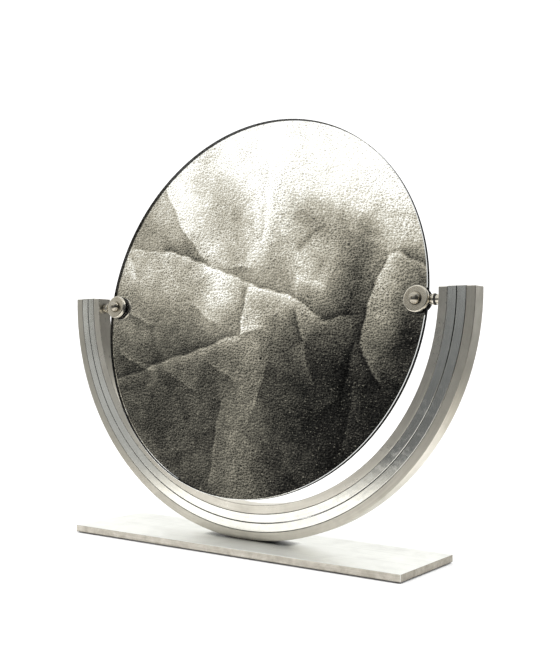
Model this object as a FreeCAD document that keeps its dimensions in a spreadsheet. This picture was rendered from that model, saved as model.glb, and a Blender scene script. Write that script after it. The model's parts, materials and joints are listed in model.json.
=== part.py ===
import FreeCAD, Part
import math
import os
import Sketcher

# Countertop mirror: a round glass that tilts between the arms of a half-ring stand.
# The stand is four nested flat bars bent to a half circle and screwed to a rectangular plate.
# Frame: X along the plate, the glass faces -Y, Z up, origin under the middle of the base.
# Each side's pivot hardware is drawn once in a side frame, whose +Z points outwards along
# the tilt axis and whose -Y is the front of the glass, and is then turned to the left or right.

SIZES = {
    "pad_thickness": 1.0,
    "pad_inset": 4.0,
    "plate_length": 358.0,
    "plate_depth": 94.0,
    "plate_thickness": 6.5,
    "plate_edge": 0.5,
    "arch_radius": 223.0,
    "bar_thickness": 7.8,
    "bar_depth": 16.0,
    "bar_edge": 0.45,
    "outer_gap": 0.2,
    "middle_gap": 0.5,
    "inner_gap": 0.1,
    "arm_rise": 1.5,
    "middle_bar_rise": 2.0,
    "pivot_drop": 8.3,
    "lean": 9.5,
    "glass_radius": 178.0,
    "glass_thickness": 4.2,
    "glass_arris": 0.5,
    "layer_radius": 177.5,
    "silver_thickness": 0.2,
    "backing_thickness": 0.4,
    "clamp_reach": 169.5,
    "notch_clearance": 0.3,
    "disc_radius": 11.3,
    "rear_disc_radius": 10.4,
    "disc_thickness": 3.0,
    "disc_edge": 1.3,
    "gasket_radius": 11.2,
    "gasket_thickness": 1.0,
    "bolt_radius": 2.0,
    "bolt_clearance": 0.15,
    "dome_radius": 5.2,
    "dome_height": 5.6,
    "dome_rounding": 4.9,
    "screw_head_radius": 5.2,
    "screw_head_height": 3.4,
    "screw_head_edge": 0.8,
    "screw_slot_width": 1.3,
    "screw_slot_depth": 1.5,
    "eye_radius": 6.0,
    "tongue_width": 8.0,
    "tongue_end": 180.8,
    "neck_radius": 3.3,
    "neck_start": 180.75,
    "flare_start": 181.6,
    "flare_radius": 1.7,
    "flange_radius": 5.0,
    "flange_end": 184.6,
    "journal_radius": 2.5,
    "journal_end": 205.0,
    "running_clearance": 0.05,
    "face_clearance": 0.1,
    "washer_radius": 4.5,
    "washer_end": 185.9,
    "bush_flange_radius": 4.0,
    "bush_flange_end": 191.2,
    "bush_radius": 3.6,
    "bush_end": 218.8,
    "bush_bore_end": 206.5,
    "base_screw_spacing": 28.0,
    "base_screw_radius": 2.5,
    "base_screw_clearance": 0.25,
    "base_screw_length": 35.8,
    "base_head_radius": 4.9,
    "base_head_height": 2.4,
    "socket_radius": 1.73,
    "socket_depth": 1.7,
}
DRILL_START = 150.0

doc = FreeCAD.newDocument("countertop_mirror")
sheet = doc.addObject("Spreadsheet::Sheet", "Sizes")
nodes = []


class Length:
    """A length as text for setExpression, with its present value in millimetres."""

    def __init__(self, text, value):
        self.text = text
        self.value = value

    def __add__(self, other):
        other = as_length(other)
        return Length(f"({self.text} + {other.text})", self.value + other.value)

    def __sub__(self, other):
        other = as_length(other)
        return Length(f"({self.text} - {other.text})", self.value - other.value)

    def __mul__(self, factor):
        return Length(f"({self.text} * {factor})", self.value * factor)

    def __neg__(self):
        return Length(f"(-{self.text})", -self.value)


def as_length(value):
    return value if isinstance(value, Length) else Length(str(value), value)


def fill_sheet():
    """Writes each driving size with its alias, and gives them back by name."""
    found = {}
    for row, (alias, value) in enumerate(SIZES.items(), start=1):
        sheet.set(f"A{row}", alias.replace("_", " "))
        sheet.set(f"B{row}", str(value))
        sheet.setAlias(f"B{row}", alias)
        found[alias] = Length(f"Sizes.{alias}", value)
    doc.recompute()
    return found


size = fill_sheet()
plate_top = size["pad_thickness"] + size["plate_thickness"]
arch_centre = plate_top + size["arch_radius"]
pivot_height = arch_centre - size["pivot_drop"]
mirror_thickness = size["glass_thickness"] + size["silver_thickness"] + size["backing_thickness"]
mirror_half = mirror_thickness * 0.5
disc_start = mirror_half + size["gasket_thickness"]
disc_end = disc_start + size["disc_thickness"]


# Helpers for the document's objects

def bind(obj, **lengths):
    """Binds each named property to its length in the sheet."""
    for name, length in lengths.items():
        obj.setExpression(name, as_length(length).text)
    return obj


def place(obj, x=0, y=0, z=0, turn="rotation(vector(0; 0; 1); 0)", frame=None):
    """Binds the Placement: an offset and a turn, inside a frame if one is given."""
    offset = "; ".join(as_length(value).text for value in (x, y, z))
    local = f"placement(vector({offset}); {turn})"
    obj.setExpression("Placement", local if frame is None else f"{frame} * {local}")
    return obj


def about(axis, angle):
    x, y, z = axis
    return f"rotation(vector({x}; {y}; {z}); {angle})"


X_AXIS = (1, 0, 0)
Y_AXIS = (0, 1, 0)
ALONG_Y = about(X_AXIS, -90)
LEAN_BACK = about(X_AXIS, "-Sizes.lean")
SIDE_TURN = {"left": about(Y_AXIS, -90), "right": about(Y_AXIS, 90)}


def pivot_frame(turn):
    """A frame at the middle of the tilt axis, turned."""
    return f"placement(vector(0; 0; {pivot_height.text}); {turn})"


MIRROR_FRAME = pivot_frame(LEAN_BACK)


def leaning_side(side):
    return pivot_frame(f"{LEAN_BACK} * {SIDE_TURN[side]}")


def standing_side(side):
    return pivot_frame(SIDE_TURN[side])


def cylinder(name, radius, start, end, x=0, frame=None):
    """A cylinder along Z from start to end, as a Part primitive."""
    obj = doc.addObject("Part::Cylinder", name)
    bind(obj, Radius=radius, Height=as_length(end) - start)
    return place(obj, x=x, z=start, frame=frame)


def cone(name, start_radius, end_radius, start, end, x=0):
    """A cone along Z from start to end, as a Part primitive."""
    obj = doc.addObject("Part::Cone", name)
    bind(obj, Radius1=start_radius, Radius2=end_radius, Height=as_length(end) - start)
    return place(obj, x=x, z=start)


def block(name, centre, lengths):
    """A box with its middle at centre, as a Part primitive."""
    obj = doc.addObject("Part::Box", name)
    bind(obj, Length=lengths[0], Width=lengths[1], Height=lengths[2])
    corner = [as_length(c) - as_length(length) * 0.5 for c, length in zip(centre, lengths)]
    return place(obj, *corner)


def fuse(name, *shapes):
    obj = doc.addObject("Part::MultiFuse", name)
    obj.Shapes = list(shapes)
    return obj


def cut(name, base, *tools):
    """The base less every tool."""
    obj = doc.addObject("Part::Cut", name)
    obj.Base = base
    obj.Tool = tools[0] if len(tools) == 1 else fuse(f"{name}_tools", *tools)
    return obj


def node(obj, name):
    """Names a finished sub-part, whose label is also its file's name."""
    obj.Label = name
    nodes.append(obj)
    return obj


def body_with_sketch(name, plane):
    """A PartDesign body with a sketch on one of its own origin planes."""
    body = doc.addObject("PartDesign::Body", name)
    sketch = body.newObject("Sketcher::SketchObject", f"{name}_sketch")
    support = next(item for item in body.Origin.OriginFeatures if item.Role == plane)
    sketch.AttachmentSupport = [(support, "")]
    sketch.MapMode = "FlatFace"
    return body, sketch


def limit(sketch, kind, length, *references):
    """Adds a dimension to a sketch and binds it to the sheet."""
    length = as_length(length)
    index = sketch.addConstraint(Sketcher.Constraint(kind, *references, length.value))
    sketch.setExpression(f"Constraints[{index}]", length.text)


def draw_circle(sketch, radius):
    shape = Part.Circle(FreeCAD.Vector(0, 0, 0), FreeCAD.Vector(0, 0, 1), radius.value)
    index = sketch.addGeometry(shape)
    sketch.addConstraint(Sketcher.Constraint("Coincident", index, 3, -1, 1))
    limit(sketch, "Radius", radius, index)


def draw_rectangle(sketch, length, width):
    """A rectangle about the sketch's origin."""
    x = length.value / 2
    y = width.value / 2
    corners = [FreeCAD.Vector(*point) for point in ((-x, -y, 0), (x, -y, 0), (x, y, 0), (-x, y, 0))]
    sides = [sketch.addGeometry(Part.LineSegment(corners[i], corners[(i + 1) % 4])) for i in range(4)]
    for i, side in enumerate(sides):
        sketch.addConstraint(Sketcher.Constraint("Coincident", side, 2, sides[(i + 1) % 4], 1))
        sketch.addConstraint(Sketcher.Constraint("Vertical" if i % 2 else "Horizontal", side))
    sketch.addConstraint(Sketcher.Constraint("Symmetric", sides[0], 1, sides[1], 2, -1, 1))
    limit(sketch, "DistanceX", length, sides[0], 1, sides[0], 2)
    limit(sketch, "DistanceY", width, sides[1], 1, sides[1], 2)


def draw_half_ring(sketch, inner, outer, rise):
    """The lower half of a ring, whose level ends stand rise above its centre."""
    centre = FreeCAD.Vector(0, 0, 0)
    normal = FreeCAD.Vector(0, 0, 1)
    arcs = []
    for radius in (inner, outer):
        circle = Part.Circle(centre, normal, radius.value)
        arc = sketch.addGeometry(Part.ArcOfCircle(circle, math.pi, 2 * math.pi))
        sketch.addConstraint(Sketcher.Constraint("Coincident", arc, 3, -1, 1))
        limit(sketch, "Radius", radius, arc)
        arcs.append(arc)
    for end, sign in ((1, -1), (2, 1)):
        start_point = FreeCAD.Vector(sign * inner.value, 0, 0)
        end_point = FreeCAD.Vector(sign * outer.value, 0, 0)
        line = sketch.addGeometry(Part.LineSegment(start_point, end_point))
        for arc, tip in zip(arcs, (1, 2)):
            sketch.addConstraint(Sketcher.Constraint("Coincident", arc, end, line, tip))
            limit(sketch, "DistanceY", rise, -1, 1, line, tip)


def pad(body, sketch, length, midplane=False):
    feature = body.newObject("PartDesign::Pad", f"{body.Name}_pad")
    feature.Profile = sketch
    feature.Midplane = midplane
    bind(feature, Length=length)
    doc.recompute()
    return feature


def dress(body, kind, base, edges, **sizes):
    """A fillet or chamfer on numbered edges of the body's last feature."""
    feature = body.newObject(f"PartDesign::{kind}", f"{body.Name}_{kind.lower()}_{len(body.Group)}")
    feature.Base = (base, [f"Edge{number}" for number in edges])
    bind(feature, **sizes)
    doc.recompute()
    return feature


def every_edge(feature):
    return range(1, len(feature.Shape.Edges) + 1)


def circles_at(feature, direction, radius):
    """The numbers of the round edges of that radius on the feature's far side in a direction."""
    found = []
    for number, edge in enumerate(feature.Shape.Edges, start=1):
        if not isinstance(edge.Curve, Part.Circle) or abs(edge.Curve.Radius - radius.value) > 0.01:
            continue
        if edge.Curve.Center.dot(FreeCAD.Vector(*direction)) > 0:
            found.append(number)
    return found


# Stand: base

def base_screw_positions():
    half = size["base_screw_spacing"] * 0.5
    return (("left", -half), ("right", half))


def make_base_pad():
    body, sketch = body_with_sketch("base_pad_body", "XY_Plane")
    inset = size["pad_inset"] * 2
    draw_rectangle(sketch, size["plate_length"] - inset, size["plate_depth"] - inset)
    pad(body, sketch, size["pad_thickness"])
    node(body, "base_pad")


def make_base_plate():
    """The plate, with softened edges and two countersunk holes from below."""
    body, sketch = body_with_sketch("base_plate_body", "XY_Plane")
    draw_rectangle(sketch, size["plate_length"], size["plate_depth"])
    slab = pad(body, sketch, size["plate_thickness"])
    dress(body, "Fillet", slab, every_edge(slab), Radius=size["plate_edge"])
    place(body, z=size["pad_thickness"])
    tools = []
    hole_radius = size["base_screw_radius"] + size["base_screw_clearance"]
    head_end = size["pad_thickness"] + size["base_head_height"]
    for side, x in base_screw_positions():
        tools.append(cylinder(f"plate_hole_{side}", hole_radius, 0, arch_centre, x=x))
        tools.append(cone(f"plate_sink_{side}", size["base_head_radius"],
                          size["base_screw_radius"], size["pad_thickness"], head_end, x=x))
    node(cut("base_plate_drilled", body, *tools), "base_plate")


def make_base_screws():
    """Two countersunk screws, with hexagonal sockets, that come up through the plate."""
    screws = []
    start = size["pad_thickness"]
    head_end = start + size["base_head_height"]
    for side, x in base_screw_positions():
        head = cone(f"screw_head_{side}", size["base_head_radius"], size["base_screw_radius"],
                    start, head_end, x=x)
        shank = cylinder(f"screw_shank_{side}", size["base_screw_radius"], head_end,
                         start + size["base_screw_length"], x=x)
        socket = doc.addObject("Part::Prism", f"screw_socket_{side}")
        bind(socket, Circumradius=size["socket_radius"], Height=size["socket_depth"])
        place(socket, x=x, z=start)
        screws.append(cut(f"base_screw_{side}", fuse(f"screw_blank_{side}", head, shank), socket))
    group = doc.addObject("Part::Compound", "base_screw_group")
    group.Links = screws
    node(group, "base_screws")


# Stand: arch

def bar_radii():
    """Each bar's name, inner and outer radius, rise of its ends and hole for the base screws."""
    clear = size["base_screw_radius"] + size["base_screw_clearance"]
    tapped = size["base_screw_radius"]
    step = size["bar_thickness"]
    outer = size["arch_radius"]
    level = size["arm_rise"]
    rise = size["middle_bar_rise"]
    rows = []
    for name, gap, ends, hole in (
        ("arch_bar_outer", size["outer_gap"], level, clear),
        ("arch_bar_second", size["middle_gap"], rise, clear),
        ("arch_bar_third", size["inner_gap"], rise, clear),
        ("arch_bar_inner", as_length(0.0), level, tapped),
    ):
        inner = outer - step
        rows.append((name, inner, outer, ends, hole))
        outer = inner - gap
    return rows


def make_arch_bar(name, inner, outer, ends, hole_radius):
    """A flat bar bent to a half ring, drilled for the base screws and the arm bushes."""
    body, sketch = body_with_sketch(f"{name}_body", "XZ_Plane")
    draw_half_ring(sketch, inner, outer, ends)
    ring = pad(body, sketch, size["bar_depth"], midplane=True)
    dress(body, "Fillet", ring, every_edge(ring), Radius=size["bar_edge"])
    place(body, z=arch_centre)
    tools = []
    hole_end = size["pad_thickness"] + size["base_screw_length"]
    for side, x in base_screw_positions():
        tools.append(cylinder(f"{name}_screw_hole_{side}", hole_radius, 0, hole_end, x=x))
    for side in SIDE_TURN:
        for kind, radius, end in (
            ("hole", size["bush_radius"], size["bush_end"]),
            ("seat", size["bush_flange_radius"], size["bush_flange_end"]),
        ):
            tools.append(cylinder(f"{name}_bush_{kind}_{side}", radius, DRILL_START, end,
                                  frame=standing_side(side)))
    node(cut(f"{name}_drilled", body, *tools), name)


def make_arm_bush(side):
    """A flanged bush pressed into the arm, which ties its bars together and carries the journal."""
    flange = cylinder(f"bush_flange_{side}", size["bush_flange_radius"],
                      size["washer_end"], size["bush_flange_end"])
    sleeve = cylinder(f"bush_sleeve_{side}", size["bush_radius"],
                      size["bush_flange_end"], size["bush_end"])
    bore = cylinder(f"bush_bore_{side}", size["journal_radius"] + size["running_clearance"],
                    size["washer_end"], size["bush_bore_end"])
    bush = cut(f"bush_{side}", fuse(f"bush_blank_{side}", flange, sleeve), bore)
    node(place(bush, frame=standing_side(side)), f"arm_bush_{side}")


def make_friction_washer(side):
    """A fibre washer between the bush and the turning flange, which holds the tilt by friction."""
    start = size["flange_end"] + size["face_clearance"]
    ring = cylinder(f"washer_ring_{side}", size["washer_radius"], start, size["washer_end"])
    hole = cylinder(f"washer_hole_{side}", size["journal_radius"] + size["bolt_clearance"],
                    start, size["washer_end"])
    washer = cut(f"washer_{side}", ring, hole)
    node(place(washer, frame=standing_side(side)), f"friction_washer_{side}")


# Mirror: the glass and its layers

def notch_tools(name):
    """The U-shaped notches at both sides of a layer, open at the rim, for the pivot eyes."""
    radius = size["eye_radius"] + size["notch_clearance"]
    depth = size["glass_radius"] - size["clamp_reach"] + 1
    tools = []
    for side, sign in (("left", -1), ("right", 1)):
        reach = size["clamp_reach"] * sign
        end = cylinder(f"{name}_notch_end_{side}", radius, 0, mirror_thickness * 2)
        place(end, x=reach, y=-mirror_thickness, turn=ALONG_Y)
        middle = reach + depth * (0.5 * sign)
        mouth = block(f"{name}_notch_mouth_{side}", (middle, 0, 0),
                      (depth, mirror_thickness * 2, radius * 2))
        tools += [end, mouth]
    return tools


def make_layer(name, radius, front, thickness, arris=None):
    """A round layer of the mirror. front is how far its front face lies behind the glass's."""
    body, sketch = body_with_sketch(f"{name}_body", "XZ_Plane")
    draw_circle(sketch, radius)
    disc = pad(body, sketch, thickness, midplane=True)
    if arris is not None:
        front_edge = dress(body, "Chamfer", disc, circles_at(disc, (0, -1, 0), radius), Size=arris)
        dress(body, "Chamfer", front_edge, circles_at(front_edge, (0, 1, 0), radius), Size=arris * 0.5)
    place(body, y=front + thickness * 0.5 - mirror_half)
    layer = cut(f"{name}_notched", body, *notch_tools(name))
    node(place(layer, frame=MIRROR_FRAME), name)


def make_mirror_layers():
    glass = size["glass_thickness"]
    silver = size["silver_thickness"]
    make_layer("mirror_glass", size["glass_radius"], as_length(0), glass, size["glass_arris"])
    make_layer("silver_layer", size["layer_radius"], glass, silver)
    make_layer("backing_layer", size["layer_radius"], glass + silver, size["backing_thickness"])


# Mirror: clamps and pivots

def make_clamp_disc(side, face, sign):
    """A round nickel plate that presses on the glass, rounded at its outer edge."""
    name = f"clamp_disc_{face}_{side}"
    body, sketch = body_with_sketch(f"{name}_body", "XZ_Plane")
    radius = size["disc_radius"] if face == "front" else size["rear_disc_radius"]
    draw_circle(sketch, radius)
    draw_circle(sketch, size["bolt_radius"] + size["bolt_clearance"])
    disc = pad(body, sketch, size["disc_thickness"], midplane=True)
    edges = circles_at(disc, (0, sign, 0), radius)
    dress(body, "Fillet", disc, edges, Radius=size["disc_edge"])
    middle = disc_start + size["disc_thickness"] * 0.5
    place(body, y=middle * sign, z=size["clamp_reach"], frame=leaning_side(side))
    node(body, name)


def make_clamp_gasket(side, face, sign):
    """A soft black ring between a clamp disc and the glass."""
    name = f"clamp_gasket_{face}_{side}"
    body, sketch = body_with_sketch(f"{name}_body", "XZ_Plane")
    draw_circle(sketch, size["gasket_radius"])
    draw_circle(sketch, size["bolt_radius"] + size["bolt_clearance"])
    pad(body, sketch, size["gasket_thickness"], midplane=True)
    middle = mirror_half + size["gasket_thickness"] * 0.5
    place(body, y=middle * sign, z=size["clamp_reach"], frame=leaning_side(side))
    node(body, name)


def make_cap_nut(side):
    """The domed nut in front, blind, with a hole for the end of the clamp screw."""
    name = f"cap_nut_{side}"
    body, sketch = body_with_sketch(f"{name}_body", "XZ_Plane")
    draw_circle(sketch, size["dome_radius"])
    blank = pad(body, sketch, size["dome_height"], midplane=True)
    front = circles_at(blank, (0, -1, 0), size["dome_radius"])
    dress(body, "Fillet", blank, front, Radius=size["dome_rounding"])
    place(body, y=-(disc_end + size["dome_height"] * 0.5), z=size["clamp_reach"])
    hole = cylinder(f"{name}_hole", size["bolt_radius"], 0, screw_tip())
    place(hole, z=size["clamp_reach"], turn=about(X_AXIS, 90))
    nut = cut(f"{name}_tapped", body, hole)
    node(place(nut, frame=leaning_side(side)), name)


def screw_tip():
    """How far in front of the glass's mid-plane the clamp screw ends, inside the cap nut."""
    return disc_end + size["dome_height"] * 0.6


def make_clamp_screw(side):
    """The screw through both discs, gaskets and the eye, with a slotted head at the back."""
    name = f"clamp_screw_{side}"
    body, sketch = body_with_sketch(f"{name}_head_body", "XZ_Plane")
    draw_circle(sketch, size["screw_head_radius"])
    blank = pad(body, sketch, size["screw_head_height"], midplane=True)
    rear = circles_at(blank, (0, 1, 0), size["screw_head_radius"])
    dress(body, "Fillet", blank, rear, Radius=size["screw_head_edge"])
    head_middle = disc_end + size["screw_head_height"] * 0.5
    head_end = disc_end + size["screw_head_height"]
    place(body, y=head_middle, z=size["clamp_reach"])
    shank = cylinder(f"{name}_shank", size["bolt_radius"], 0, screw_tip() + disc_end)
    place(shank, y=disc_end, z=size["clamp_reach"], turn=about(X_AXIS, 90))
    slot_length = size["screw_head_radius"] * 3
    slot = block(f"{name}_slot", (0, head_end, size["clamp_reach"]),
                 (slot_length, size["screw_slot_depth"] * 2, size["screw_slot_width"]))
    screw = cut(f"{name}_slotted", fuse(f"{name}_blank", body, shank), slot)
    node(place(screw, frame=leaning_side(side)), name)


def make_pivot_stud(side):
    """The turning stud: a flat eye and tongue in the glass's notch, a flare and a journal."""
    name = f"pivot_stud_{side}"
    eye = cylinder(f"{name}_eye", size["eye_radius"], 0, mirror_thickness)
    place(eye, y=-mirror_half, z=size["clamp_reach"], turn=ALONG_Y)
    tongue_length = size["tongue_end"] - size["clamp_reach"]
    tongue_middle = size["clamp_reach"] + tongue_length * 0.5
    tongue = block(f"{name}_tongue", (0, 0, tongue_middle),
                   (size["tongue_width"], mirror_thickness, tongue_length))
    neck = cylinder(f"{name}_neck", size["neck_radius"], size["neck_start"], size["flare_start"])
    flare_blank = cylinder(f"{name}_flare_blank", size["flange_radius"],
                           size["flare_start"], size["flange_end"])
    groove = doc.addObject("Part::Torus", f"{name}_groove")
    bind(groove, Radius1=size["neck_radius"] + size["flare_radius"], Radius2=size["flare_radius"])
    place(groove, z=size["flare_start"])
    flare = cut(f"{name}_flare", flare_blank, groove)
    journal = cylinder(f"{name}_journal", size["journal_radius"],
                       size["flange_end"], size["journal_end"])
    hole = cylinder(f"{name}_hole", size["bolt_radius"] + size["bolt_clearance"], 0,
                    mirror_thickness * 2)
    place(hole, y=-mirror_thickness, z=size["clamp_reach"], turn=ALONG_Y)
    stud = cut(f"{name}_drilled", fuse(f"{name}_blank", eye, tongue, neck, flare, journal), hole)
    node(place(stud, frame=leaning_side(side)), name)


def check(obj):
    """Stops if an object has failed or a sub-part has no valid shape."""
    if "Invalid" in obj.State or "Error" in obj.State:
        raise RuntimeError(f"{obj.Name} failed: {obj.State}")
    if obj in nodes and (obj.Shape.isNull() or not obj.Shape.isValid() or not obj.Shape.Solids):
        raise RuntimeError(f"{obj.Label} has no valid solid")


def main():
    make_base_pad()
    make_base_plate()
    make_base_screws()
    for row in bar_radii():
        make_arch_bar(*row)
    make_mirror_layers()
    for side in SIDE_TURN:
        make_arm_bush(side)
        make_friction_washer(side)
        make_pivot_stud(side)
        make_clamp_screw(side)
        make_cap_nut(side)
        for face, sign in (("front", -1), ("rear", 1)):
            make_clamp_disc(side, face, sign)
            make_clamp_gasket(side, face, sign)
    doc.recompute()
    for obj in doc.Objects:
        check(obj)
    os.makedirs("parts", exist_ok=True)
    for obj in nodes:
        obj.Shape.exportStep(os.path.join("parts", f"{obj.Label}.step"))
        box = obj.Shape.BoundBox
        print(f"{obj.Label:28s} {len(obj.Shape.Solids)} solid(s) {obj.Shape.Volume:11.1f} mm3",
              [round(v, 2) for v in (box.XMin, box.XMax, box.YMin, box.YMax, box.ZMin, box.ZMax)])


main()
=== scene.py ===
import json
import math

import bpy
import numpy as np
from mathutils import Matrix, Vector


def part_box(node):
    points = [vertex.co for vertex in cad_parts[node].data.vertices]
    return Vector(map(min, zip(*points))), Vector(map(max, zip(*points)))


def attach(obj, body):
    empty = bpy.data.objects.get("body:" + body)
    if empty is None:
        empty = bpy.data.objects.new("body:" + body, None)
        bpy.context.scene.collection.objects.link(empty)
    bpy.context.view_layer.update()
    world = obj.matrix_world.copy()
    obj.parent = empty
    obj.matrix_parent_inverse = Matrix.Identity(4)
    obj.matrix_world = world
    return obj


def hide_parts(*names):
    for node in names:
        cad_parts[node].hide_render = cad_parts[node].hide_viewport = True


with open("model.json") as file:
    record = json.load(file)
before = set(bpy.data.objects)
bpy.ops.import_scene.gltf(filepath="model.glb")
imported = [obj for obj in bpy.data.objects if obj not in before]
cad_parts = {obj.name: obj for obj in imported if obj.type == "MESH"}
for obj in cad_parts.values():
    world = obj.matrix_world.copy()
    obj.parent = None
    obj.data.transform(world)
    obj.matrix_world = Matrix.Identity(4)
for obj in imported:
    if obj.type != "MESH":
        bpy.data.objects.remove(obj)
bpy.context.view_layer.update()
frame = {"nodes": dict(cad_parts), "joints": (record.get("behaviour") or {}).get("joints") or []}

# Looks of a countertop mirror: satin and polished aluminium bars, nickel clamps and a silvered
# plate glass. Lengths are in metres, in the frame of the CAD model, whose front faces -Y.

NODES = frame["nodes"]
SIDES = ("left", "right")

ARCH_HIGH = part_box("arch_bar_outer")[1]
ARCH_CENTRE = Vector((0, 0, ARCH_HIGH.z))
PIVOT = Vector(frame["joints"][0]["pos_m"])
GLASS_LOW, GLASS_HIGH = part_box("mirror_glass")
GLASS_RADIUS = (GLASS_HIGH.x - GLASS_LOW.x) / 2
LAYER_LOW, LAYER_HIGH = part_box("silver_layer")
LAYER_RADIUS = (LAYER_HIGH.x - LAYER_LOW.x) / 2

# How far the glass leans back at rest, and half its thickness with its layers.
LEAN = math.radians(9.5)
GLASS_HALF = 0.0024
GLASS_NORMAL = Vector((0, -math.cos(LEAN), math.sin(LEAN)))
GLASS_UP = Vector((0, math.sin(LEAN), math.cos(LEAN)))
GLASS_RIGHT = Vector((1, 0, 0))

# The main camera: where it stands, how it is turned and its lens in millimetres.
CAMERA_PLACE = Vector((0.5331, -0.7169, 0.1782))
CAMERA_HEADING = math.radians(35.02)
CAMERA_PITCH = math.radians(1.17)
CAMERA_ROLL = math.radians(0.41)
CAMERA_LENS = 52.52


# Node helpers

def add(tree, kind, inputs=None, **settings):
    """Adds a node with its settings. Each input is a number or a socket to link from."""
    node = tree.nodes.new(kind)
    for name, value in settings.items():
        setattr(node, name, value)
    for name, value in (inputs or {}).items():
        if isinstance(value, bpy.types.NodeSocket):
            tree.links.new(value, node.inputs[name])
        else:
            node.inputs[name].default_value = value
    return node


def calc(tree, operation, first, second=0.0):
    return add(tree, "ShaderNodeMath", {0: first, 1: second}, operation=operation).outputs[0]


def sum_up(tree, first, *others):
    total = first
    for value in others:
        total = calc(tree, "ADD", total, value)
    return total


def weighted(tree, first, second, share):
    """A weighted mean: share of the first value and the rest of the second."""
    return calc(tree, "ADD", calc(tree, "MULTIPLY", first, share),
                calc(tree, "MULTIPLY", second, 1 - share))


def remap(tree, value, start, end, low, high, smooth=False):
    """Takes value from the range start..end to low..high, held at both ends."""
    kind = "SMOOTHSTEP" if smooth else "LINEAR"
    inputs = {"Value": value, "From Min": start, "From Max": end, "To Min": low, "To Max": high}
    return add(tree, "ShaderNodeMapRange", inputs, interpolation_type=kind).outputs["Result"]


def noise(tree, vector, scale, detail=4.0, roughness=0.55, distortion=0.0):
    inputs = {"Vector": vector, "Scale": scale, "Detail": detail, "Roughness": roughness,
              "Distortion": distortion}
    return add(tree, "ShaderNodeTexNoise", inputs).outputs["Fac"]


def cells(tree, vector, scale):
    """Distance to the middle of the nearest cell of an uneven pattern on a flat sheet."""
    inputs = {"Vector": vector, "Scale": scale, "Randomness": 0.9}
    return add(tree, "ShaderNodeTexVoronoi", inputs, voronoi_dimensions="2D").outputs["Distance"]


def combine(tree, operation, first, second):
    """Adds, subtracts or multiplies two vectors."""
    return add(tree, "ShaderNodeVectorMath", {0: first, 1: second}, operation=operation).outputs[0]


def ramp(tree, factor, stops):
    """A colour ramp. Each stop is a position and a linear colour."""
    node = add(tree, "ShaderNodeValToRGB", {"Fac": factor})
    elements = node.color_ramp.elements
    while len(elements) < len(stops):
        elements.new(0.5)
    for element, (position, colour) in zip(elements, stops):
        element.position = position
        element.color = (*colour, 1)
    return node.outputs["Color"]


def blend_colour(tree, factor, first, second):
    """From the first colour, a socket, to the second, a fixed one, as factor goes from 0 to 1."""
    node = add(tree, "ShaderNodeMix", {"Factor": factor}, data_type="RGBA")
    tree.links.new(first, node.inputs[6])
    node.inputs[7].default_value = (*second, 1)
    return node.outputs[2]


def bump(tree, height, distance, normal=None):
    inputs = {"Height": height, "Distance": distance}
    if normal is not None:
        inputs["Normal"] = normal
    return add(tree, "ShaderNodeBump", inputs).outputs["Normal"]


def object_place(tree):
    """The place on the object, in metres, which turns with the object's body."""
    return add(tree, "ShaderNodeTexCoord").outputs["Object"]


def new_material(name, **constants):
    """A material with its tree and Principled shader. Constants go on the shader's own sockets."""
    material = bpy.data.materials.new(name)
    material.use_nodes = True
    tree = material.node_tree
    shader = tree.nodes["Principled BSDF"]
    for socket, value in constants.items():
        shader.inputs[socket.replace("_", " ")].default_value = value
    return material, tree, shader


def join_up(tree, shader, **sockets):
    for name, socket in sockets.items():
        tree.links.new(socket, shader.inputs[name.replace("_", " ")])


# Metals

# The grain's scales: across a brushed grain, along it, and of satin without a direction.
GRAIN_ACROSS = 900
GRAIN_ALONG = 14
GRAIN_SATIN = 1500
# About the radius of the bent bars, which turns an angle into a length along them.
BEND_RADIUS = 0.2

# How much of the mottling is grain; the rest is patches.
GRAIN_SHARE = 0.4
# The mottling's values that take the dark, the middle and the light tone.
DARK_AT, MIDDLE_AT, LIGHT_AT = 0.32, 0.50, 0.66
# Worn edges: how far the wear reaches, and how much brighter and smoother it is.
WEAR_RADIUS = 0.0005
WEAR_GAIN = 1.10
WEAR_GLOSS = 0.75
# Painted shade: the near-black colour that the metals take deep in narrow gaps and at contact
# lines.
GAP_SHADE_COLOUR = (0.02, 0.018, 0.015)
SHADER_SAMPLES = 4


def along_plate(tree):
    """Grain that runs along the base plate."""
    return combine(tree, "MULTIPLY", object_place(tree), (GRAIN_ALONG, GRAIN_ACROSS, GRAIN_ACROSS))


def along_arch(tree):
    """Grain that follows the bent bars: radius, depth and arc length about the arch's centre."""
    local = combine(tree, "SUBTRACT", object_place(tree), ARCH_CENTRE)
    parts = add(tree, "ShaderNodeSeparateXYZ", {0: local}).outputs
    radius = calc(tree, "SQRT", calc(tree, "ADD", calc(tree, "MULTIPLY", parts["X"], parts["X"]),
                                     calc(tree, "MULTIPLY", parts["Z"], parts["Z"])))
    angle = calc(tree, "ARCTAN2", parts["X"], calc(tree, "MULTIPLY", parts["Z"], -1.0))
    inputs = {"X": calc(tree, "MULTIPLY", radius, GRAIN_ACROSS),
              "Y": calc(tree, "MULTIPLY", parts["Y"], GRAIN_ACROSS),
              "Z": calc(tree, "MULTIPLY", angle, GRAIN_ALONG * BEND_RADIUS)}
    return add(tree, "ShaderNodeCombineXYZ", inputs).outputs[0]


def every_way(tree):
    """Fine satin without a direction, as on the small turned pieces."""
    return combine(tree, "MULTIPLY", object_place(tree), (GRAIN_SATIN,) * 3)


def edge_wear(tree):
    """1 along the sharp edges of a piece and 0 on its faces."""
    inputs = {"Radius": WEAR_RADIUS}
    rounded = add(tree, "ShaderNodeBevel", inputs, samples=SHADER_SAMPLES).outputs["Normal"]
    flat = add(tree, "ShaderNodeNewGeometry").outputs["Normal"]
    inputs = {0: rounded, 1: flat}
    match = add(tree, "ShaderNodeVectorMath", inputs, operation="DOT_PRODUCT").outputs["Value"]
    return remap(tree, match, 0.995, 0.90, 0.0, 1.0)


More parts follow.
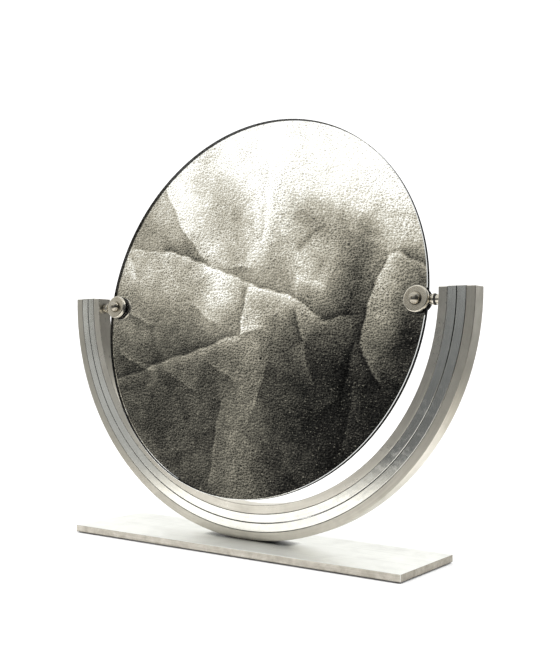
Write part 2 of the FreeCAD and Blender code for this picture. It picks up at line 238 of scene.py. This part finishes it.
def near_gaps(tree, reach):
    """Where painted shade darkens the metal: 1 deep in the narrow gaps and at the contact lines,
    falling to 0 on open faces.
    """
    inputs = {"Distance": reach}
    occlusion = add(tree, "ShaderNodeAmbientOcclusion", inputs, samples=SHADER_SAMPLES)
    return remap(tree, occlusion.outputs["AO"], 0.45, 0.96, 1.0, 0.0)


def make_metal(name, grain, tones, gloss, relief, patch_scale=38, gap_shade_reach=0.0025,
               waviness=0.0001, scuffing=0.08, metallic=1.0):
    """Bare metal. tones: dark, middle and light colour. gloss: lowest and highest roughness.
    relief and waviness: how deep the grain and the slow waves are. scuffing: roughness added."""
    material, tree, shader = new_material(name, Metallic=metallic)
    place = object_place(tree)
    lines = noise(tree, grain(tree), 1.0, detail=5.0, roughness=0.6)
    patches = noise(tree, place, patch_scale, detail=6.0, roughness=0.62, distortion=0.4)
    specks = noise(tree, place, 650, detail=2.0)
    mixed = calc(tree, "ADD", weighted(tree, lines, patches, GRAIN_SHARE),
                 remap(tree, specks, 0.62, 0.78, 0.0, -0.10))

    wear = edge_wear(tree)
    worn = tuple(min(1.0, channel * WEAR_GAIN) for channel in tones[2])
    colour = ramp(tree, mixed, list(zip((DARK_AT, MIDDLE_AT, LIGHT_AT), tones)))
    colour = blend_colour(tree, wear, colour, worn)
    # Painted shade in the gaps between parts and at the contact lines, darkening the colour towards
    # near black.
    colour = blend_colour(tree, near_gaps(tree, gap_shade_reach), colour, GAP_SHADE_COLOUR)

    smoothest, roughest = gloss
    rough = remap(tree, mixed, DARK_AT, LIGHT_AT, roughest, smoothest)
    rough = calc(tree, "MULTIPLY", rough, remap(tree, wear, 0.0, 1.0, 1.0, WEAR_GLOSS))
    scuffs = noise(tree, place, 150, detail=6.0, roughness=0.72, distortion=0.5)
    scuffs = weighted(tree, scuffs, patches, 0.7)
    rough = calc(tree, "ADD", rough, remap(tree, scuffs, 0.48, 0.66, 0.0, scuffing))

    relief_height = calc(tree, "ADD", lines, calc(tree, "MULTIPLY", specks, 0.4))
    waves = noise(tree, place, 40, detail=3.0, roughness=0.5)
    normal = bump(tree, relief_height, relief, normal=bump(tree, waves, waviness))
    join_up(tree, shader, Base_Color=colour, Roughness=rough, Normal=normal)
    return material


# Glass, silvering and the dull pieces

# The silvering bites this far into the glass and ends this far inside the glass's rim.
FILM_BITE = 0.00003
FILM_MARGIN = 0.00006


def make_clear_glass():
    """Plate glass with the faintest wipe marks."""
    material, tree, shader = new_material("clear_glass", Transmission_Weight=1.0, IOR=1.52)
    stretched = combine(tree, "MULTIPLY", object_place(tree), (9, 9, 30))
    marks = noise(tree, stretched, 1.0, detail=5.0)
    tint = ramp(tree, marks, [(0.3, (0.975, 0.985, 0.978)), (0.7, (0.985, 0.995, 0.988))])
    rough = remap(tree, marks, 0.55, 0.8, 0.0, 0.0015)
    join_up(tree, shader, Base_Color=tint, Roughness=rough)
    return material


def make_silvering():
    material, tree, shader = new_material("silvering", Metallic=1.0)
    clouds = noise(tree, object_place(tree), 12)
    tint = ramp(tree, clouds, [(0.3, (0.90, 0.895, 0.875)), (0.7, (0.935, 0.93, 0.915))])
    join_up(tree, shader, Base_Color=tint, Roughness=remap(tree, clouds, 0.5, 0.8, 0.0, 0.001))
    return material


def make_dull(name, tones, gloss, scale, relief, **constants):
    """Paint, rubber or felt: mottled, with a fine relief. tones: dark and light colour. gloss:
    lowest and highest roughness. scale: how fine the mottling is."""
    material, tree, shader = new_material(name, **constants)
    place = object_place(tree)
    fine = noise(tree, place, scale, detail=5.0, roughness=0.65)
    broad = noise(tree, place, 30, detail=3.0)
    mixed = weighted(tree, fine, broad, 0.6)
    colour = ramp(tree, mixed, list(zip((0.3, 0.7), tones)))
    rough = remap(tree, mixed, 0.3, 0.7, *gloss)
    join_up(tree, shader, Base_Color=colour, Roughness=rough, Normal=bump(tree, fine, relief))
    return material


def dress(material, *names):
    """Gives the named CAD nodes one material."""
    for name in names:
        mesh = NODES[name].data
        mesh.materials.clear()
        mesh.materials.append(material)


def dress_faces(name, materials, pick):
    """Gives a CAD node several materials. pick takes a face's normal to a place in the list."""
    mesh = NODES[name].data
    mesh.materials.clear()
    for material in materials:
        mesh.materials.append(material)
    for polygon in mesh.polygons:
        polygon.material_index = pick(polygon.normal)


def pick_glass(normal):
    """0 for the front and the polished arris, 1 for the rim and the back."""
    return 0 if normal.dot(GLASS_NORMAL) > 0.5 else 1


def pick_plate(normal):
    """0 for the plate's broad faces, 1 for its long sides and 2 for its ends."""
    if abs(normal.y) > 0.9:
        return 1
    return 2 if abs(normal.x) > 0.9 else 0


def make_silver_film(material):
    """The silvering bonded to the back of the glass: it reaches a hair into the glass, so that the
    reflection starts at one surface only, and nearly to the rim."""
    spread = (GLASS_RADIUS - FILM_MARGIN) / LAYER_RADIUS
    mesh = NODES["silver_layer"].data.copy()
    mesh.name = "silver_film"
    mesh.transform(Matrix.Translation(GLASS_NORMAL * FILM_BITE + PIVOT) @ Matrix.Scale(spread, 4)
                   @ Matrix.Translation(-PIVOT))
    mesh.materials.clear()
    mesh.materials.append(material)
    film = bpy.data.objects.new("silver_film", mesh)
    bpy.context.scene.collection.objects.link(film)
    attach(film, "mirror")
    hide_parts("silver_layer")


def dress_arch():
    """The inner and outer bars are satin; the two middle ones are polished."""
    satin = make_metal(
        "satin_aluminium", along_arch, gloss=(0.31, 0.45), relief=0.00003, gap_shade_reach=0.004,
        tones=((0.54, 0.51, 0.435), (0.65, 0.615, 0.53), (0.74, 0.705, 0.615)))
    bright_satin = make_metal(
        "bright_satin_aluminium", along_arch, gloss=(0.24, 0.36), relief=0.00002,
        tones=((0.62, 0.585, 0.505), (0.74, 0.70, 0.61), (0.84, 0.80, 0.71)))
    polished = make_metal(
        "polished_aluminium", along_arch, gloss=(0.09, 0.20), relief=0.000012,
        waviness=0.00012, scuffing=0.14,
        tones=((0.78, 0.765, 0.70), (0.90, 0.885, 0.81), (0.96, 0.945, 0.87)))
    dress(satin, "arch_bar_outer")
    dress(bright_satin, "arch_bar_inner")
    dress(polished, "arch_bar_second", "arch_bar_third")


def dress_base():
    """The plate has brushed faces and sawn long sides; its sawn ends take a darker copy of the
    sides' colour as painted shade.
    """
    # Painted shadow: the plate's long reach of gap shade darkens it where the arch's curve rises
    # off it.
    plate = make_metal(
        "satin_plate", along_plate, gloss=(0.26, 0.44), relief=0.00002, metallic=0.72,
        scuffing=0.14, gap_shade_reach=0.006,
        tones=((0.78, 0.785, 0.75), (0.90, 0.91, 0.87), (0.97, 0.975, 0.94)))
    sawn = make_metal(
        "sawn_side", along_plate, gloss=(0.42, 0.62), relief=0.00010, patch_scale=130,
        tones=((0.48, 0.445, 0.38), (0.63, 0.59, 0.515), (0.76, 0.72, 0.64)))
    # Painted shade: a darker copy of the sawn sides, for the plate's ends.
    shaded_sawn_end = make_metal(
        "shaded_sawn_end", along_plate, gloss=(0.42, 0.62), relief=0.00010, patch_scale=130,
        tones=((0.34, 0.315, 0.265), (0.44, 0.41, 0.35), (0.54, 0.51, 0.44)))
    steel = make_metal(
        "steel", every_way, gloss=(0.14, 0.26), relief=0.00001, patch_scale=120,
        tones=((0.42, 0.41, 0.39), (0.56, 0.55, 0.53), (0.68, 0.67, 0.65)))
    felt = make_dull(
        "felt", ((0.015, 0.015, 0.015), (0.05, 0.05, 0.05)), gloss=(0.85, 1.0), scale=1500,
        relief=0.0003, Sheen_Weight=0.4)
    dress_faces("base_plate", (plate, sawn, shaded_sawn_end), pick_plate)
    dress(felt, "base_pad")
    dress(steel, "base_screws")


def dress_clamps():
    """Nickel in front and in the arms, a darker copy of it as painted shade on the cap nuts,
    blackened steel behind the glass, rubber between.
    """
    nickel = make_metal(
        "nickel", every_way, gloss=(0.16, 0.26), relief=0.000006, patch_scale=90,
        gap_shade_reach=0.0012, tones=((0.58, 0.53, 0.44), (0.69, 0.64, 0.54), (0.78, 0.73, 0.63)))
    # Painted shade: the cap nuts take a darker copy of the nickel, standing in for the shade on
    # their domes.
    shaded_nickel = make_metal(
        "shaded_nickel", every_way, gloss=(0.12, 0.20), relief=0.000006, patch_scale=90,
        gap_shade_reach=0.0012, tones=((0.36, 0.33, 0.27), (0.45, 0.41, 0.34), (0.54, 0.50, 0.42)))
    black_steel = make_dull(
        "black_steel", ((0.010, 0.010, 0.011), (0.030, 0.029, 0.028)), gloss=(0.30, 0.48),
        scale=900, relief=0.00002)
    rubber = make_dull(
        "black_rubber", ((0.010, 0.010, 0.010), (0.028, 0.027, 0.026)), gloss=(0.55, 0.8),
        scale=1200, relief=0.00004)
    for side in SIDES:
        dress(nickel, f"pivot_stud_{side}", f"clamp_disc_front_{side}", f"arm_bush_{side}")
        dress(shaded_nickel, f"cap_nut_{side}")
        dress(black_steel, f"clamp_screw_{side}", f"clamp_disc_rear_{side}")
        dress(rubber, f"friction_washer_{side}", f"clamp_gasket_front_{side}",
              f"clamp_gasket_rear_{side}")


def dress_mirror():
    """Clear glass in front, dark sealing paint on its rim, silvering and painted backing."""
    seal = make_dull(
        "edge_seal", ((0.004, 0.004, 0.004), (0.010, 0.010, 0.011)), gloss=(0.50, 0.70),
        scale=500, relief=0.00002, Specular_IOR_Level=0.05)
    paint = make_dull(
        "backing_paint", ((0.050, 0.052, 0.056), (0.085, 0.087, 0.092)), gloss=(0.42, 0.62),
        scale=420, relief=0.00005)
    dress_faces("mirror_glass", (make_clear_glass(), seal), pick_glass)
    make_silver_film(make_silvering())
    dress(paint, "backing_layer")


# Studio: floor, lights, the room that the metal reflects and the foil that the glass reflects

FLOOR_HALF = 12.0
WORLD_STRENGTH = 1.30

# Soft square lamps: name, place, width in metres and power in watts. Both aim at one point.
LAMPS = (
    ("key", (0.9, -0.6, 1.9), 1.2, 14),
    ("fill", (-1.3, 0.6, 1.5), 1.4, 10),
)
LAMP_AIM = Vector((0, 0, 0.1))


def link_new(name, data):
    holder = bpy.data.objects.new(name, data)
    bpy.context.scene.collection.objects.link(holder)
    return holder


def stage_mesh(name, vertices, faces, material):
    mesh = bpy.data.meshes.new(name)
    mesh.from_pydata(vertices, [], faces)
    mesh.materials.append(material)
    piece = link_new(name, mesh)
    return piece


def reflected_only(piece):
    """Seen in metal and glass only: it neither hides anything nor lights or shades the floor."""
    piece.visible_camera = False
    piece.visible_diffuse = False
    piece.visible_shadow = False
    piece.visible_volume_scatter = False


def store_values(piece, name, kind, field, values):
    """Keeps one value or colour per vertex, which the material reads by its name."""
    attribute = piece.data.attributes.new(name, kind, "POINT")
    attribute.data.foreach_set(field, values.astype(np.float32).ravel())


def glow_material(name):
    """An emission material that isn't sampled as a lamp."""
    material = bpy.data.materials.new(name)
    material.use_nodes = True
    tree = material.node_tree
    tree.nodes.clear()
    output = tree.nodes.new("ShaderNodeOutputMaterial")
    glow = tree.nodes.new("ShaderNodeEmission")
    tree.links.new(glow.outputs[0], output.inputs[0])
    material.cycles.emission_sampling = "NONE"
    return material, tree, glow


def make_floor():
    material, tree, shader = new_material("floor", Roughness=0.9)
    cloud = noise(tree, object_place(tree), 1.5, detail=3.0)
    shade = ramp(tree, cloud, [(0.3, (0.90, 0.90, 0.895)), (0.7, (0.93, 0.93, 0.925))])
    join_up(tree, shader, Base_Color=shade)
    half = FLOOR_HALF
    corners = [(-half, -half, 0), (half, -half, 0), (half, half, 0), (-half, half, 0)]
    stage_mesh("floor", corners, [(0, 1, 2, 3)], material)


def make_world():
    world = bpy.data.worlds.new("studio")
    bpy.context.scene.world = world
    world.use_nodes = True
    background = world.node_tree.nodes["Background"]
    background.inputs["Color"].default_value = (1.0, 1.0, 1.0, 1)
    background.inputs["Strength"].default_value = WORLD_STRENGTH


def make_lamps():
    for name, place, width, power in LAMPS:
        lamp = bpy.data.lights.new(name, "AREA")
        lamp.size = width
        lamp.energy = power
        holder = link_new(name, lamp)
        holder.location = place
        holder.rotation_mode = "QUATERNION"
        holder.rotation_quaternion = (LAMP_AIM - Vector(place)).to_track_quat("-Z", "Y")
        holder.visible_glossy = False


def make_camera():
    camera = bpy.data.cameras.new("camera")
    camera.lens = CAMERA_LENS
    holder = link_new("camera", camera)
    holder.location = CAMERA_PLACE
    turn = (Matrix.Rotation(CAMERA_HEADING, 3, "Z")
            @ Matrix.Rotation(math.pi / 2 + CAMERA_PITCH, 3, "X")
            @ Matrix.Rotation(CAMERA_ROLL, 3, "Z"))
    holder.rotation_mode = "QUATERNION"
    holder.rotation_quaternion = turn.to_quaternion()
    bpy.context.scene.camera = holder


# The room as the metal reflects it: a direction, how bright it is there and how warm, 0 to 1.
ROOM_LIGHT = (
    ((0.00, 0.00, 1.00), 1.10, 0.5),
    ((0.00, -0.60, 0.80), 0.90, 0.4),
    ((0.00, 0.70, 0.70), 1.10, 0.5),
    ((-0.60, 0.78, 0.22), 1.08, 0.55),
    ((-0.20, 0.97, 0.20), 1.06, 0.55),
    ((-0.95, 0.25, 0.10), 0.80, 0.5),
    ((0.36, 0.93, 0.04), 1.35, 0.3),
    ((0.58, 0.81, 0.02), 0.16, 0.6),
    ((0.72, 0.70, 0.00), 0.05, 0.6),
    ((0.85, 0.52, 0.05), 0.05, 0.6),
    ((0.66, 0.66, 0.36), 0.05, 0.6),
    ((0.70, 0.30, 0.65), 0.45, 0.2),
    ((1.00, 0.00, 0.05), 0.06, 0.3),
    ((0.85, -0.50, 0.05), 0.06, 0.3),
    ((0.72, -0.66, 0.28), 0.07, 0.3),
    ((0.55, -0.65, 0.50), 0.16, 0.3),
    ((-0.97, -0.20, 0.02), 0.60, 0.4),
    ((-0.76, -0.65, 0.02), 0.44, 0.3),
    ((-0.55, -0.83, 0.02), 0.19, 0.1),
    ((-0.38, -0.92, 0.02), 0.08, 0.0),
    ((0.20, -0.98, 0.02), 0.07, 0.0),
    ((-0.82, -0.48, 0.30), 1.00, 0.4),
    ((-0.60, -0.74, 0.30), 0.85, 0.3),
    ((-0.35, -0.88, 0.30), 0.55, 0.2),
    ((0.05, -0.95, 0.30), 0.35, 0.1),
    ((-0.40, -0.60, 0.70), 0.90, 0.2),
)
# How far each direction's light spreads, and the tints from cool to warm.
ROOM_BLUR = 0.14
COOL_TINT = np.array((0.93, 0.98, 1.04))
WARM_TINT = np.array((1.0, 0.955, 0.86))
# The white table: how bright it is, the distances at which it starts and stops fading, and the
# height below which the room's skin counts as the table.
TABLE_GLOW = 1.02
TABLE_START, TABLE_END = 0.34, 0.62
TABLE_TOP = 0.02

# The room's skin, as rings of a radius and a height: on the floor, outside the stand, then a dome.
ROOM_SEGMENTS = 96
FLOOR_RINGS = [(0.36 + 0.05 * step, 0.003) for step in range(12)] + [(1.4, 0.005), (2.0, 0.01)]
DOME_RADIUS, DOME_FOOT, DOME_RISE = 2.6, 0.03, 2.57
DOME_RINGS = [(DOME_RADIUS * math.cos(angle), DOME_FOOT + DOME_RISE * math.sin(angle))
              for angle in np.linspace(0, 1.55, 28)]


def room_colours(points):
    """The room's colour at each point: smooth over its directions, and white on the table."""
    heading = points / np.linalg.norm(points, axis=1)[:, None]
    weights = []
    for direction, _, _ in ROOM_LIGHT:
        unit = np.array(direction) / np.linalg.norm(direction)
        weights.append(np.exp((heading @ unit - 1) / ROOM_BLUR ** 2))
    weights = np.array(weights) / np.sum(weights, axis=0)
    strength = np.array([light for _, light, _ in ROOM_LIGHT]) @ weights
    warmth = np.array([warm for _, _, warm in ROOM_LIGHT]) @ weights
    reach = np.linalg.norm(points[:, :2], axis=1)
    table = np.clip((TABLE_END - reach) / (TABLE_END - TABLE_START), 0, 1)
    table = table * (points[:, 2] < TABLE_TOP)
    strength = strength + (TABLE_GLOW - strength) * table
    warmth = warmth + (1.0 - warmth) * table
    tint = COOL_TINT + (WARM_TINT - COOL_TINT) * warmth[:, None]
    return tint * strength[:, None]


def make_room():
    """A dome round the object: bright above and behind, dim in front, where the room is dark."""
    material, tree, glow = glow_material("room")
    colour = add(tree, "ShaderNodeAttribute", attribute_name="glow").outputs["Color"]
    grain = noise(tree, object_place(tree), 3.0, detail=3.0)
    tree.links.new(colour, glow.inputs["Color"])
    tree.links.new(remap(tree, grain, 0.3, 0.7, 0.94, 1.06), glow.inputs["Strength"])
    vertices = []
    rings = FLOOR_RINGS + DOME_RINGS
    for radius, height in rings:
        for step in range(ROOM_SEGMENTS):
            turn = 2 * math.pi * step / ROOM_SEGMENTS
            vertices.append((radius * math.cos(turn), radius * math.sin(turn), height))
    faces = []
    for low in range(0, (len(rings) - 1) * ROOM_SEGMENTS, ROOM_SEGMENTS):
        high = low + ROOM_SEGMENTS
        for step in range(ROOM_SEGMENTS):
            after = (step + 1) % ROOM_SEGMENTS
            faces.append((low + step, low + after, high + after, high + step))
    room = stage_mesh("room", vertices, faces, material)
    colours = room_colours(np.array(vertices))
    opaque = np.concatenate([colours, np.ones((len(vertices), 1))], axis=1)
    store_values(room, "glow", "FLOAT_COLOR", "color", opaque)
    reflected_only(room)


# The glowing sheet that the glass reflects, with painted light and shade. Its places are in glass
# radii, right and up from the middle of the glass, and its tones of painted light run from 0,
# black, to 1, white.

# How far in front of the glass it stands, how many glass radii it fills each way, how many points
# it has each way and how strongly it glows.
FOIL_DISTANCE = 1.5
FOIL_REACH = 1.06
FOIL_STEPS = 480
FOIL_STRENGTH = 1.10

# The painted lamp light on it: its tone below and how much brighter it is above, how much brighter
# the upper right is and how much dimmer the lower right.
FOIL_LOW_TONE = 0.30
FOIL_TOP_GAIN = 0.75
FOIL_CORNER_GAIN = 0.10
FOIL_CORNER_LOSS = 0.18

# Soft folds, painted as broad bands of light where the tone added is above 0 and of shade where it
# is below: from, to, tone added and half width.
FOIL_FOLDS = (
    ((-0.64, 0.72), (-0.36, 0.34), 0.04, 0.06),
    ((-0.30, 0.28), (-0.22, 0.04), 0.15, 0.07),
    ((-0.18, 0.02), (0.14, 0.02), 0.14, 0.10),
    ((-0.24, -0.12), (0.00, -0.16), 0.15, 0.07),
    ((0.00, -0.22), (0.00, -0.95), 0.13, 0.09),
    ((0.00, 0.90), (-0.01, 0.26), 0.14, 0.05),
    ((-0.82, 0.75), (-0.82, 0.45), -0.24, 0.10),
    ((-0.62, 0.40), (-0.48, 0.28), -0.08, 0.06),
    ((-0.44, 0.80), (-0.20, 0.48), -0.15, 0.09),
    ((0.28, 0.46), (0.44, 0.42), -0.14, 0.08),
    ((0.28, 0.22), (0.37, 0.12), 0.12, 0.06),
    ((0.62, 0.34), (0.60, 0.02), -0.22, 0.07),
    ((0.94, 0.14), (0.92, -0.20), -0.16, 0.06),
    ((0.76, 0.10), (0.76, -0.30), 0.10, 0.06),
    ((-0.90, 0.22), (-0.35, 0.02), 0.10, 0.10),
    ((-0.90, -0.12), (-0.78, -0.16), 0.08, 0.06),
)

# Sharp creases, painted as light and shade beside a line: from, to, tone added on the left of the
# line, on its right, and how far it reaches.
FOIL_CREASES = (
    ((-1.05, 0.36), (-0.62, 0.31), -0.06, 0.08, 0.05),
    ((-0.66, 0.33), (-0.32, 0.225), -0.18, 0.12, 0.06),
    ((-0.34, 0.225), (-0.20, 0.17), -0.12, 0.14, 0.04),
    ((-0.20, 0.17), (-0.03, 0.11), -0.08, 0.12, 0.04),
    ((-0.03, 0.11), (0.28, 0.02), -0.12, 0.16, 0.05),
    ((0.28, 0.02), (0.42, -0.07), -0.10, 0.14, 0.04),
    ((-0.70, 0.69), (-0.55, 0.44), 0.06, -0.10, 0.05),
    ((-0.55, 0.44), (-0.33, 0.23), 0.08, -0.08, 0.05),
    ((0.01, 0.80), (0.02, 0.34), 0.05, -0.10, 0.05),
    ((-0.04, 0.10), (-0.07, -0.15), 0.11, -0.14, 0.05),
    ((0.08, -0.12), (-0.10, -0.165), -0.12, 0.08, 0.05),
    ((-0.06, -0.155), (-0.42, -0.265), 0.14, -0.12, 0.05),
    ((-0.42, -0.265), (-0.66, -0.335), 0.12, -0.08, 0.05),
    ((-0.62, -0.33), (-0.92, -0.42), 0.08, -0.08, 0.05),
    ((0.78, 0.235), (0.71, 0.08), 0.10, -0.18, 0.05),
    ((0.71, 0.08), (0.655, -0.21), 0.10, -0.18, 0.05),
    ((0.655, -0.21), (0.79, -0.40), 0.10, -0.12, 0.04),
    ((0.63, -0.20), (0.60, -0.44), 0.02, -0.10, 0.05),
    ((0.84, 0.235), (0.74, 0.225), 0.12, -0.04, 0.03),
    ((0.84, 0.235), (0.90, 0.195), -0.18, 0.08, 0.035),
    ((0.90, 0.195), (0.99, 0.15), -0.10, 0.14, 0.03),
    ((0.27, -0.03), (0.33, -0.20), 0.08, -0.12, 0.04),
    ((0.33, -0.20), (0.42, -0.40), -0.04, 0.10, 0.035),
    ((0.40, 0.40), (0.25, 0.28), -0.05, -0.12, 0.03),
    ((0.28, 0.02), (0.25, 0.16), 0.10, 0.07, 0.03),
    ((0.25, 0.13), (0.44, 0.09), 0.06, 0.09, 0.03),
    ((-0.02, 0.20), (-0.20, 0.20), -0.10, 0.06, 0.03),
    ((0.42, -0.09), (0.60, -0.07), -0.14, 0.10, 0.03),
    ((0.65, -0.40), (0.62, -0.72), 0.08, -0.03, 0.03),
    ((-0.90, -0.27), (-0.64, -0.36), 0.09, -0.05, 0.03),
    ((-0.55, -0.36), (-0.32, -0.46), 0.07, -0.04, 0.03),
    ((-0.26, -0.31), (-0.06, -0.40), 0.08, -0.05, 0.03),
    ((-0.92, 0.32), (-0.84, 0.16), -0.06, 0.06, 0.03),
    ((-0.88, -0.03), (-0.66, -0.11), 0.06, -0.09, 0.03),
    ((-0.42, 0.02), (-0.22, -0.11), 0.06, -0.07, 0.03),
    ((-0.14, -0.50), (-0.16, -0.95), 0.08, -0.04, 0.04),
    ((0.14, -0.30), (0.05, -0.62), -0.06, 0.07, 0.04),
)

# Creases: how sharply one side turns into the other, how wide the painted bright line at the fold
# is, how strong the painted light and shade of the slope beside it and that line are, how softly
# the ends fade, and the whole's gain.
CREASE_EDGE = 0.006
CREASE_LINE = 0.014
CREASE_SLOPE = 0.75
CREASE_GLINT = 0.6
CREASE_FADE = 0.6
CREASE_DEPTH = 1.35
# How far they wander from a straight line.
CRUMPLE = 0.004

# Dimples, as painted shade in pits: how many there are across a glass radius, how the pattern is
# stretched and swayed, and where and how strongly a painted lit side shows beside each pit.
DIMPLE_SCALE = 78
DIMPLE_STRETCH = (1.0, 1.15, 1.0)
DIMPLE_SWAY = (0.030, -0.024, 0.0)
DIMPLE_LIGHT = (0.004, -0.005, 0.0)
DIMPLE_RELIEF = 0.28

# The sheet's glowing colours, from its black to the painted glare of the lamp: a tone and its
# linear colour.
FOIL_COLOURS = (
    (0.0, (0.002, 0.002, 0.002)),
    (0.20, (0.017, 0.017, 0.016)),
    (0.36, (0.082, 0.078, 0.066)),
    (0.52, (0.212, 0.200, 0.164)),
    (0.69, (0.445, 0.412, 0.335)),
    (0.80, (0.65, 0.615, 0.53)),
    (0.90, (0.86, 0.84, 0.76)),
    (1.0, (1.30, 1.30, 1.28)),
)


def rise(value, start, end):
    """0 at start and 1 at end, smooth between them and held beyond."""
    share = np.clip((value - start) / (end - start), 0, 1)
    return share * share * (3 - 2 * share)


def beside_line(right, up, start, end):
    """How far each point is along a line, 0 to 1, and to its left; and the line's length."""
    run, climb = end[0] - start[0], end[1] - start[1]
    length = np.hypot(run, climb)
    ahead = (right - start[0]) * run + (up - start[1]) * climb
    left = (up - start[1]) * run - (right - start[0]) * climb
    return ahead / length ** 2, left / length, length


def crumple(right, up):
    """Shifts the places a little, so that no crease is ruler straight."""
    shift = np.sin(19.0 * up + 2.0) + np.sin(43.0 * up + 21.0 * right)
    lift = np.sin(17.0 * right + 1.0) + np.sin(47.0 * right - 23.0 * up + 2.0)
    return right + CRUMPLE * shift, up + CRUMPLE * lift


def foil_light(right, up):
    """The painted lamp light on the sheet: white above, dim below and dimmest at the lower right.
    """
    tone = FOIL_LOW_TONE + FOIL_TOP_GAIN * rise(up, -0.5, 1.0)
    tone = tone + FOIL_CORNER_GAIN * rise(right, 0.3, 0.9) * rise(up, 0.25, 0.55)
    return tone - FOIL_CORNER_LOSS * rise(right, 0.05, 0.55) * rise(up, 0.05, -0.45)


def foil_tone(right, up):
    """The painted light and shade of the sheet before its fine dimples: 0 is black and 1 is white.
    """
    right, up = crumple(right, up)
    tone = foil_light(right, up)
    for start, end, lift, width in FOIL_FOLDS:
        along, across, length = beside_line(right, up, start, end)
        beyond = np.maximum(np.maximum(-along, along - 1), 0) * length
        tone = tone + lift * np.exp(-(across ** 2 + beyond ** 2) / (2 * width ** 2))
    for start, end, left_tone, right_tone, reach in FOIL_CREASES:
        along, across, length = beside_line(right, up, start, end)
        fade = CREASE_FADE * reach
        inside = rise(np.minimum(along, 1 - along) * length, -fade, fade)
        leftness = np.clip(across / CREASE_EDGE, -1, 1) * 0.5 + 0.5
        side = right_tone + (left_tone - right_tone) * leftness
        away = np.abs(across)
        spread = CREASE_SLOPE * np.exp(-away / reach) + CREASE_GLINT * np.exp(-away / CREASE_LINE)
        tone = tone + CREASE_DEPTH * inside * side * spread
    return tone


def foil_dimples(tree, place, tone):
    """How much painted shade darkens the sheet in its pits, with a painted lit and dark side to
    each of them.
    """
    sway = combine(tree, "MULTIPLY", noise(tree, place, 38, detail=2.0), DIMPLE_SWAY)
    grain = combine(tree, "ADD", combine(tree, "MULTIPLY", place, DIMPLE_STRETCH), sway)
    near = cells(tree, grain, DIMPLE_SCALE)
    beside = cells(tree, combine(tree, "ADD", grain, DIMPLE_LIGHT), DIMPLE_SCALE)
    depth = remap(tree, noise(tree, place, 2.4, detail=2.0), 0.40, 0.62, 0.16, 0.50)
    pits = calc(tree, "MULTIPLY", remap(tree, near, 0.04, 0.31, 1.0, 0.0, smooth=True), depth)
    relief = calc(tree, "MULTIPLY", calc(tree, "SUBTRACT", near, beside), DIMPLE_RELIEF)
    pits = calc(tree, "SUBTRACT", pits, relief)
    return calc(tree, "MULTIPLY", pits, remap(tree, tone, 0.1, 0.5, 0.60, 1.0))


def make_foil_material():
    """The sheet's glow, all painted light and shade: its tone, with small dents, thin folds,
    dimples, glitter and sparkle.
    """
    material, tree, glow = glow_material("foil")
    place = add(tree, "ShaderNodeUVMap", uv_map="face").outputs["UV"]
    tone = add(tree, "ShaderNodeAttribute", attribute_name="tone").outputs["Fac"]
    # Painted light and shade of small dents.
    dents = noise(tree, place, 8.0, detail=6.0, roughness=0.65, distortion=0.8)
    dents = remap(tree, dents, 0.3, 0.7, -0.08, 0.09)
    # Thin painted bright lines where the sheet folds.
    folds = noise(tree, place, 6.0, detail=3.0, roughness=0.5, distortion=1.2)
    folds = calc(tree, "ABSOLUTE", calc(tree, "SUBTRACT", folds, 0.5))
    folds = remap(tree, folds, 0.0, 0.02, 0.05, 0.0)
    # Painted glints: fine glitter, and sparkle that is strongest on the sheet's dark parts.
    glitter = remap(tree, noise(tree, place, 190, detail=1.0), 0.3, 0.7, -0.09, 0.13)
    sparkle = remap(tree, noise(tree, place, 95, detail=1.0), 0.62, 0.74, 0.0, 0.26)
    sparkle = calc(tree, "MULTIPLY", sparkle, remap(tree, tone, 0.15, 0.45, 1.0, 0.2))
    total = sum_up(tree, tone, dents, folds, glitter, sparkle)
    total = calc(tree, "SUBTRACT", total, foil_dimples(tree, place, tone))
    tree.links.new(ramp(tree, total, FOIL_COLOURS), glow.inputs["Color"])
    glow.inputs["Strength"].default_value = FOIL_STRENGTH
    return material


def foil_points(right, up):
    """Where the main camera, by way of the glass, sees each place on the glass: points of a flat
    sheet in front of it, square to the line of sight through its middle."""
    face_middle = np.array(PIVOT + GLASS_NORMAL * GLASS_HALF)
    across = np.array(GLASS_RIGHT) * GLASS_RADIUS
    upward = np.array(GLASS_UP) * GLASS_RADIUS
    window = face_middle + right[:, None] * across + up[:, None] * upward
    normal = np.array(GLASS_NORMAL)
    eye = np.array(CAMERA_PLACE)
    eye = eye - 2 * ((eye - face_middle) @ normal) * normal
    eye_distance = np.linalg.norm(face_middle - eye)
    middle_ray = (face_middle - eye) / eye_distance
    rays = window - eye
    return eye + rays * ((eye_distance + FOIL_DISTANCE) / (rays @ middle_ray))[:, None]


def make_foil():
    """A flat glowing sheet in front of the mirror, wide enough to fill the glass, painted with the
    light and shade of a creased, dimpled silver sheet.
    """
    line = np.linspace(-FOIL_REACH, FOIL_REACH, FOIL_STEPS)
    right, up = (grid.ravel() for grid in np.meshgrid(line, line))
    index = np.arange(FOIL_STEPS * FOIL_STEPS).reshape(FOIL_STEPS, FOIL_STEPS)
    faces = np.stack([index[:-1, :-1], index[:-1, 1:], index[1:, 1:], index[1:, :-1]], -1)
    foil = stage_mesh("foil", foil_points(right, up).tolist(), faces.reshape(-1, 4).tolist(),
                      make_foil_material())
    mesh = foil.data
    layer = mesh.uv_layers.new(name="face")
    corners = np.zeros(len(mesh.loops), np.int32)
    mesh.loops.foreach_get("vertex_index", corners)
    places = np.stack([right[corners], up[corners]], -1)
    layer.data.foreach_set("uv", places.astype(np.float32).ravel())
    store_values(foil, "tone", "FLOAT", "value", foil_tone(right, up))
    reflected_only(foil)


dress_arch()
dress_base()
dress_mirror()
dress_clamps()
make_floor()
make_room()
make_foil()
make_world()
make_lamps()
make_camera()
bpy.context.scene.view_settings.view_transform = "Standard"
